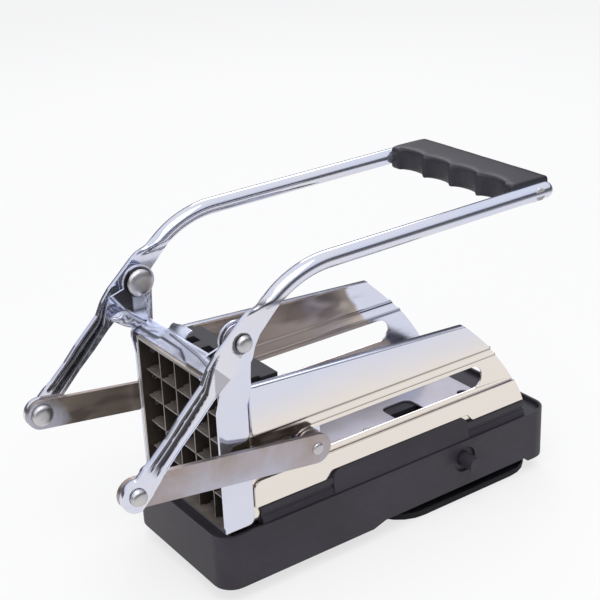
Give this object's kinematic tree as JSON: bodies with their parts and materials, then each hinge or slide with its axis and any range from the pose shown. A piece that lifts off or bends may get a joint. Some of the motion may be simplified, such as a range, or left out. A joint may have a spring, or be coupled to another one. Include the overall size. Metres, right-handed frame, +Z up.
{
  "type": "french fry cutter",
  "caption": "Lever-operated potato chipper: a handle and links pull a pusher block along a steel trough towards a square blade grid on a suction base.",
  "frame": {"origin": "middle of the bounding box in X and Y, on the surface that the suction pad and the feet rest on", "axes": "+X from the blade end to the rear, +Y to the far side of the picture, +Z up"},
  "size_m": [0.2382, 0.0968, 0.1563],
  "materials": {
    "polished_steel": "polished stainless sheet",
    "satin_steel": "satin stainless",
    "blade_steel": "ground blade strip",
    "rivet_steel": "brushed heads",
    "base_plastic": "fine matte charcoal",
    "grip_plastic": "matte charcoal",
    "pusher_plastic": "matte dark grey",
    "rubber": "soft matte"
  },
  "bodies": {
    "base": {"base_housing": "base_plastic", "trough_floor": "polished_steel", "blade_frame": "blade_steel", "blade_upright_1": "blade_steel", "blade_level_1": "blade_steel", "blade_upright_2": "blade_steel", "blade_level_2": "blade_steel", "blade_upright_3": "blade_steel", "blade_level_3": "blade_steel", "blade_upright_4": "blade_steel", "blade_level_4": "blade_steel", "base_rail_near": "base_plastic", "base_rail_far": "base_plastic", "side_wall_near": "polished_steel", "side_wall_far": "polished_steel", "side_skirt_near": "polished_steel", "side_skirt_far": "polished_steel", "pivot_plate_near": "polished_steel", "pivot_plate_far": "polished_steel", "pivot_washer_near": "satin_steel", "pivot_washer_far": "satin_steel", "pivot_rivet_near": "rivet_steel", "pivot_rivet_far": "rivet_steel", "front_foot_near": "rubber", "front_foot_far": "rubber", "base_screw_front": "rivet_steel", "base_screw_rear": "rivet_steel"},
    "lever": {"grip": "grip_plastic", "lever_arm_near": "polished_steel", "lever_arm_far": "polished_steel", "grip_screw_near": "rivet_steel", "grip_screw_far": "rivet_steel", "crank_rivet_near": "rivet_steel", "crank_rivet_far": "rivet_steel"},
    "links": {"link_near": "satin_steel", "link_far": "satin_steel", "link_end_rivet_near": "rivet_steel", "link_end_rivet_far": "rivet_steel"},
    "pusher": {"pusher_block": "pusher_plastic", "pusher_carriage": "polished_steel", "pusher_pin": "rivet_steel", "slide_bush_near": "satin_steel", "slide_bush_far": "satin_steel", "carriage_screw_near": "rivet_steel", "carriage_screw_far": "rivet_steel"},
    "lock": {"lock_bracket": "polished_steel"},
    "suction": {"suction_shaft": "base_plastic", "suction_lever": "base_plastic"},
    "pad": {"suction_pad": "rubber", "pad_yoke": "pusher_plastic"}
  },
  "joints": [
    {"name": "handle_swing", "type": "hinge", "parent": "base", "child": "lever", "pos_m": [-0.06032, 0, 0.1242], "axis": [0, -1, 0], "range_deg": [-7, 82]},
    {"name": "link_swing", "type": "hinge", "parent": "lever", "child": "links", "pos_m": [-0.11212, 0, 0.0746], "axis": [0, -1, 0], "range_deg": [-76.44, 6.57]},
    {"name": "pusher_slide", "type": "slide", "parent": "base", "child": "pusher", "axis": [1, 0, 0], "range_m": [-0.00811, 0.09447]},
    {"name": "lock_swing", "type": "hinge", "parent": "base", "child": "lock", "pos_m": [-0.06032, 0, 0.1242], "axis": [0, 1, 0], "range_deg": [0, 100]},
    {"name": "suction_turn", "type": "hinge", "parent": "base", "child": "suction", "pos_m": [0.06308, 0, 0.024], "axis": [0, -1, 0], "range_deg": [0, 180]},
    {"name": "pad_lift", "type": "slide", "parent": "base", "child": "pad", "axis": [0, 0, 1], "range_m": [0, 0.0026]}
  ],
  "couplings": [
    {"joint": "link_swing", "follows": "handle_swing", "ratio": -0.93159},
    {"joint": "pusher_slide", "follows": "handle_swing", "m_per_rad": 0.065976},
    {"joint": "pad_lift", "follows": "suction_turn", "m_per_rad": 0.0006366}
  ]
}
